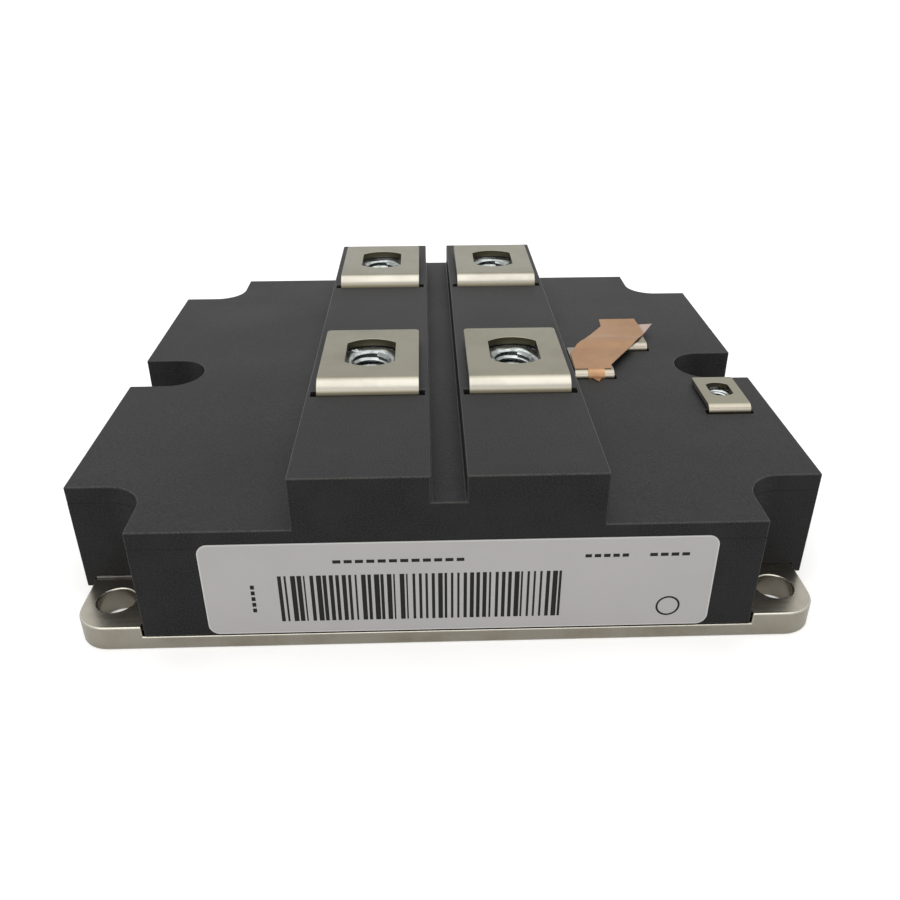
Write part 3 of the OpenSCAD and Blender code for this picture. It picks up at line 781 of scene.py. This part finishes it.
def nickel(name, bright, stain_and_shade, stretch, rough, stain_share, fold=None):
    """A fold is the foot's two heights, the top's height, and the colour of the painted highlight
    on the bend.

    Between the foot's heights a brown painted shade fades out upwards, where the sheet dips into
    the housing. Below the top, on the bend, the coat is painted paler as a painted highlight.
    """
    material, tree, shader, place = start_material(name, Metallic=1.0)
    rolled = use_group(tree, drawn, Place=place, Stretch=stretch, Strength=0.25, Depth=0.00003)
    marks = use_group(tree, clouds, Place=place, Scale=90.0, Low=0.45, High=0.75)
    share = map_range(tree, marks.outputs["Mask"], high=stain_share)
    coat = bright
    if fold:
        foot, top, paler_tone_and_highlight = fold
        height = add_node(tree, "ShaderNodeSeparateXYZ", Vector=place).outputs["Z"]
        # Painted shade: browner towards the foot of the bend, where the sheet dips into the
        # housing.
        foot_shade = map_range(tree, height, foot[0], foot[1], 0.95, 0.0)
        share = maths(tree, "MAXIMUM", maths(tree, "MULTIPLY", share, 0.6), foot_shade)
        # Painted highlight: just below the top, the bend is painted paler.
        bend_highlight = map_range(tree, height, top - BEND_HIGHLIGHT_LOW, top - BEND_HIGHLIGHT_HIGH, 1.0, 0.0)
        coat = blend_colours(tree, bend_highlight, bright, paler_tone_and_highlight)
    shine = map_range(tree, rolled.outputs["Mask"], low=rough - 0.06, high=rough + 0.1)
    tree.links.new(blend_colours(tree, share, coat, stain_and_shade), shader.inputs["Base Color"])
    tree.links.new(shine, shader.inputs["Roughness"])
    tree.links.new(rolled.outputs["Normal"], shader.inputs["Normal"])
    return material


PALE, BROWN = (0.252, 0.24, 0.183), (0.1, 0.088, 0.06)
ALONG_SHEET, ALL_ROUND = (900, 90, 900), (900, 900, 900)  # how finely the lines are drawn
bar_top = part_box("emitter_bar_front")[1].z
# A fold holds the foot's heights, where painted shade browns the sheet, the top's height, and the
# colour of the painted highlight on the bend.
bar_fold = (bar_top - 2.1 * MM, bar_top - 1.2 * MM), bar_top, (0.4, 0.384, 0.335)
tab_fold = (tab_top - 1.5 * MM, tab_top - 0.9 * MM), tab_top, (0.36, 0.33, 0.275)
bar_nickel = nickel("busbar nickel", PALE, BROWN, ALONG_SHEET, 0.3, 0.5, bar_fold)
tab_nickel = nickel("tab nickel", PALE, BROWN, ALONG_SHEET, 0.34, 0.5, tab_fold)
plate_nickel = nickel(
    "plate nickel", bright=(0.40, 0.375, 0.32), stain_and_shade=(0.25, 0.21, 0.15),
    stretch=(120, 1400, 1400), rough=0.22, stain_share=0.6,
)
# Painted highlight: the plate's rounded edges get a paler nickel.
edge_highlight_nickel = nickel(
    "nickel edge with painted highlight", bright=(0.48, 0.46, 0.4), stain_and_shade=(0.36, 0.33, 0.27),
    stretch=ALL_ROUND, rough=0.25, stain_share=0.4,
)
# Painted shade with some tarnish: the dark brown given to the cut edges inside the openings.
cut_edge_tarnish_and_shade = nickel(
    "cut edge tarnish and painted shade", bright=(0.12, 0.105, 0.07), stain_and_shade=(0.08, 0.066, 0.042),
    stretch=ALL_ROUND, rough=0.35, stain_share=0.6,
)
busbars = [o for o in scene.objects if "busbar" in o.name]
tabs = [o for o in scene.objects if o.name.endswith("_tab")]
paint(bar_nickel, *busbars)
paint(tab_nickel, *tabs)
paint(plate_nickel, plate, edge=edge_highlight_nickel)
print("nickel on", [o.name for o in busbars + tabs + [plate]])

# %% [markdown]
# Inside an opening the punch leaves a cut edge that the coat hardly reaches. It is painted dark
# brown: partly the tarnish of that bare edge, and partly painted shade, as the edge faces the dark
# pocket under the sheet. These faces are found by their place: they are upright, lie inside the
# flat part, and look towards the middle of the opening.

# %% Cut edges of the openings
UPRIGHT = 0.3  # the normal of an upright face rises less than this


def tarnish_and_shade_opening(piece, thickness, reach):
    piece.data.materials.append(cut_edge_tarnish_and_shade)
    last = len(piece.data.materials) - 1
    corners = [v.co for v in piece.data.vertices]
    high = max(c.z for c in corners)
    flat = [c for c in corners if c.z > high - TOUCH]
    middle = Vector((sum(c.x for c in flat), sum(c.y for c in flat), 0)) / len(flat)
    found = 0
    for face in piece.data.polygons:
        inward = (middle - face.center).xy
        upright = abs(face.normal.z) < UPRIGHT and face.center.z > high - thickness
        if upright and inward.length < reach and inward.dot(face.normal.xy) > 0:
            face.material_index = last
            found += 1
    print(piece.name, "has", found, "cut faces")


for bar in busbars:
    tarnish_and_shade_opening(bar, thickness=1.7 * MM, reach=7.5 * MM)
for tab in tabs:
    tarnish_and_shade_opening(tab, thickness=0.9 * MM, reach=3.4 * MM)

# %% [markdown]
# ## Zinc, foil and wires
# The nuts are zinc plated, colder and shinier than the nickel. The foil is bare rolled copper
# that has gone dull, and it turns paler beyond the start of its curled tip. Inside, the leads are
# bare copper and the bond wires drawn aluminium.

# %% Other metals
TIP_BLEND = 0.6 * MM  # length over which the foil turns pale


def bare_metal(name, bright, dull, rough, scale, tip=None):
    """A tip is a place along X and a colour: beyond it the metal takes that paler colour."""
    material, tree, shader, place = start_material(name, Metallic=1.0)
    patches = use_group(tree, clouds, Place=place, Scale=scale, Low=0.35, High=0.7)
    fine_grain = use_group(tree, grain, Place=place, Scale=1800.0, Strength=0.07, Depth=0.00004)
    tone = blend_colours(tree, patches.outputs["Mask"], bright, dull)
    if tip:
        tip_x, paler_tone_and_highlight = tip
        across = add_node(tree, "ShaderNodeSeparateXYZ", Vector=place).outputs["X"]
        beyond = map_range(tree, across, tip_x, tip_x + TIP_BLEND)
        tone = blend_colours(tree, beyond, tone, paler_tone_and_highlight)
    shine = map_range(tree, patches.outputs["Mask"], low=rough, high=rough + 0.15)
    tree.links.new(tone, shader.inputs["Base Color"])
    tree.links.new(shine, shader.inputs["Roughness"])
    tree.links.new(fine_grain.outputs["Normal"], shader.inputs["Normal"])
    return material


zinc = bare_metal("bright zinc", (0.38, 0.405, 0.4), (0.2, 0.22, 0.22), 0.17, 600.0)
copper_sheet = bare_metal(
    "dull copper foil", (0.37, 0.218, 0.118), (0.3, 0.176, 0.096), 0.36, 110.0,
    tip=(50.6 * MM, (0.42, 0.33, 0.29)),
)
lead_copper = bare_metal("lead copper", (0.8, 0.45, 0.26), (0.6, 0.32, 0.18), 0.3, 300.0)
aluminium = bare_metal("drawn aluminium", (0.84, 0.85, 0.87), (0.7, 0.71, 0.73), 0.25, 900.0)
paint(zinc, large_nuts, small_nuts)
paint(copper_sheet, foil)
paint(lead_copper, nodes["control_leads"])
paint(aluminium, nodes["bond_wires"])
print("metals painted")

# %% [markdown]
# ## The label
# A pale grey film with a strip of bars and a few short printed strokes. The bars come from a
# random width per step, so they hold no code, and plain dashes stand where a real label has
# words. All of it is drawn by comparing the place on the label with a few sizes in millimetres.
# The film's cut edge catches the light, so a narrow rim is paler.

# %% Inside a rectangle
inside, into, out = new_group(
    "inside a rectangle",
    [(n, FLOAT, 0.0) for n in ("Across", "Up", "Left", "Right", "Bottom", "Top")],
    [("Mask", FLOAT)],
)


def between(place, low, high):
    above = maths(inside, "GREATER_THAN", into.outputs[place], into.outputs[low])
    below = maths(inside, "LESS_THAN", into.outputs[place], into.outputs[high])
    return maths(inside, "MULTIPLY", above, below)


both = maths(inside, "MULTIPLY", between("Across", "Left", "Right"), between("Up", "Bottom", "Top"))
inside.links.new(both, out.inputs["Mask"])
print("group:", inside.name)

# %% The print
# Sizes are in millimetres, and a block is its left, right, bottom and top.
BARS, BAR_STEP = (-30.0, 20.4, 5.9, 16.0), 1.12
BAR_SHARES = (0.25, 0.85)  # of a step, the thinnest and the thickest bar
STROKES = (  # axis along which they follow, block, step, and their share of a step
    ("X", (-20.2, 2.6, 18.5, 19.2), 1.95, 0.72),
    ("X", (23.6, 31.2, 18.7, 19.4), 1.62, 0.7),
    ("X", (34.9, 41.9, 18.7, 19.4), 1.87, 0.72),
    ("Z", (-34.9, -34.2, 8.1, 14.2), 1.28, 0.7),
)
RING_CENTRE, RING_RADIUS, RING_HALF_LINE = (39.3, 7.6, 0), 2.0, 0.19


def print_mask(tree, split, flat):
    """A mask of everything that is printed on the label."""

    def block(left, right, bottom, top):
        node = use_group(
            tree, inside, Across=split.outputs["X"], Up=split.outputs["Z"],
            Left=left, Right=right, Bottom=bottom, Top=top,
        )
        return node.outputs["Mask"]

    def count_steps(axis, start, length):
        along = maths(tree, "SUBTRACT", split.outputs[axis], start)
        return maths(tree, "DIVIDE", along, length)

    def strokes_in(field, steps, share):
        """Fills the first share of each step, within a field."""
        dark = maths(tree, "LESS_THAN", maths(tree, "FRACT", steps), share)
        return maths(tree, "MULTIPLY", field, dark)

    steps = count_steps("X", BARS[0], BAR_STEP)
    chance = add_node(
        tree, "ShaderNodeTexWhiteNoise", {"noise_dimensions": "1D"},
        W=maths(tree, "FLOOR", steps),
    )
    thinnest, thickest = BAR_SHARES
    share = map_range(tree, chance.outputs["Value"], low=thinnest, high=thickest)
    bars = strokes_in(block(*BARS), steps, share)
    radius = add_node(tree, "ShaderNodeVectorMath", {"operation": "DISTANCE"})
    tree.links.new(flat, radius.inputs[0])
    radius.inputs[1].default_value = RING_CENTRE
    ring = maths(tree, "COMPARE", radius.outputs["Value"], RING_RADIUS, RING_HALF_LINE)
    ink = maths(tree, "MAXIMUM", bars, ring)
    for axis, (left, right, bottom, top), length, share in STROKES:
        steps = count_steps(axis, left if axis == "X" else bottom, length)
        stroke = strokes_in(block(left, right, bottom, top), steps, share)
        ink = maths(tree, "MAXIMUM", ink, stroke)
    return ink


print("print:", len(STROKES), "rows of strokes, one block of bars and a ring")

# %% The film
CORNER, RIM = 2.0, 0.2  # radius of the label's corners and width of its rim
FILM, FILM_PALER = (0.462, 0.453, 0.453), (0.49, 0.48, 0.481)
RIM_TONE, INK_TONE = (0.62, 0.62, 0.61), (0.012, 0.012, 0.012)


def rim_mask(tree, flat):
    """A mask of the rim of a rectangle with round corners, as large as the label."""
    low, high = (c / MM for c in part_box("label"))
    arm = flat
    for operation, value in (
        ("SUBTRACT", ((low.x + high.x) / 2, (low.z + high.z) / 2, 0)),
        ("ABSOLUTE", None),
        ("SUBTRACT", ((high.x - low.x) / 2 - CORNER, (high.z - low.z) / 2 - CORNER, 0)),
        ("MAXIMUM", (0, 0, 0)),
    ):
        node = add_node(tree, "ShaderNodeVectorMath", {"operation": operation})
        tree.links.new(arm, node.inputs[0])
        if value:
            node.inputs[1].default_value = value
        arm = node.outputs["Vector"]
    reach = add_node(tree, "ShaderNodeVectorMath", {"operation": "LENGTH"})
    tree.links.new(arm, reach.inputs[0])
    return maths(tree, "GREATER_THAN", reach.outputs["Value"], CORNER - RIM)


def label_film():
    material, tree, shader, place = start_material(
        "label film", Roughness=0.42, Specular_IOR_Level=0.2
    )
    scaled = add_node(tree, "ShaderNodeMapping", Vector=place, Scale=(1000, 1000, 1000))
    split = add_node(tree, "ShaderNodeSeparateXYZ", Vector=scaled.outputs[0])
    across, up = split.outputs["X"], split.outputs["Z"]
    flat = add_node(tree, "ShaderNodeCombineXYZ", X=across, Y=up).outputs[0]
    mottle = use_group(tree, clouds, Place=place, Scale=60.0, Low=0.3, High=0.7)
    tone = blend_colours(tree, mottle.outputs["Mask"], FILM, FILM_PALER)
    tone = blend_colours(tree, rim_mask(tree, flat), tone, RIM_TONE)
    tone = blend_colours(tree, print_mask(tree, split, flat), tone, INK_TONE)
    press = use_group(tree, grain, Place=place, Scale=1500.0, Strength=0.08, Depth=0.00004)
    tree.links.new(tone, shader.inputs["Base Color"])
    tree.links.new(press.outputs["Normal"], shader.inputs["Normal"])
    return material


paint(label_film(), nodes["label"])
print("label painted")

# %% [markdown]
# ## What the housing hides
# The ceramic boards, chips, gel and resin are out of sight, but each still gets the finish it
# has inside a real module. A board is white ceramic with copper on both faces, so its colour
# follows the height: the thin ceramic layer is pale and everything else on it is copper.

# %% Ceramic boards
CERAMIC_HEIGHT, CERAMIC_HALF = 5.6 * MM, 0.31 * MM  # the layer's middle, and half of it


def ceramic_board():
    material, tree, shader, place = start_material("ceramic board", Roughness=0.45)
    height = add_node(tree, "ShaderNodeSeparateXYZ", Vector=place).outputs["Z"]
    middle = maths(tree, "COMPARE", height, CERAMIC_HEIGHT, CERAMIC_HALF)
    tarnish = use_group(tree, clouds, Place=place, Scale=120.0, Low=0.35, High=0.7)
    copper = blend_colours(tree, tarnish.outputs["Mask"], (0.8, 0.47, 0.3), (0.65, 0.36, 0.22))
    tone = blend_colours(tree, middle, copper, (0.86, 0.86, 0.83))
    tree.links.new(tone, shader.inputs["Base Color"])
    tree.links.new(maths(tree, "SUBTRACT", 1.0, middle), shader.inputs["Metallic"])
    return material


boards = [nodes[f"substrate_{a}_{b}"] for a in ("front", "rear") for b in ("left", "right")]
paint(ceramic_board(), *boards)
print("boards painted:", len(boards))

# %% Chips, gel, resin and sealant
def plain_fill(name, dark, pale, rough, scale, **values):
    material, tree, shader, place = start_material(name, **values)
    patches = use_group(tree, clouds, Place=place, Scale=scale, Low=0.35, High=0.65)
    tone = blend_colours(tree, patches.outputs["Mask"], dark, pale)
    shine = map_range(tree, patches.outputs["Mask"], low=rough, high=rough + 0.1)
    tree.links.new(tone, shader.inputs["Base Color"])
    tree.links.new(shine, shader.inputs["Roughness"])
    return material


silicon = plain_fill(
    "metallised silicon", (0.45, 0.46, 0.5), (0.55, 0.56, 0.6), 0.25, 400.0, Metallic=1.0
)
clear_gel = plain_fill(
    "clear gel", (0.78, 0.84, 0.86), (0.86, 0.9, 0.92), 0.12, 60.0,
    Transmission_Weight=1.0, IOR=1.41,
)
resin = plain_fill("potting resin", (0.02, 0.02, 0.02), (0.03, 0.03, 0.03), 0.35, 70.0)
silicone = plain_fill("grey silicone", (0.1, 0.1, 0.095), (0.15, 0.15, 0.14), 0.4, 300.0)
paint(silicon, nodes["igbt_chips"], nodes["diode_chips"])
paint(clear_gel, nodes["gel"])
paint(resin, nodes["potting"])
paint(silicone, bead)
print("hidden pieces and the bead painted")
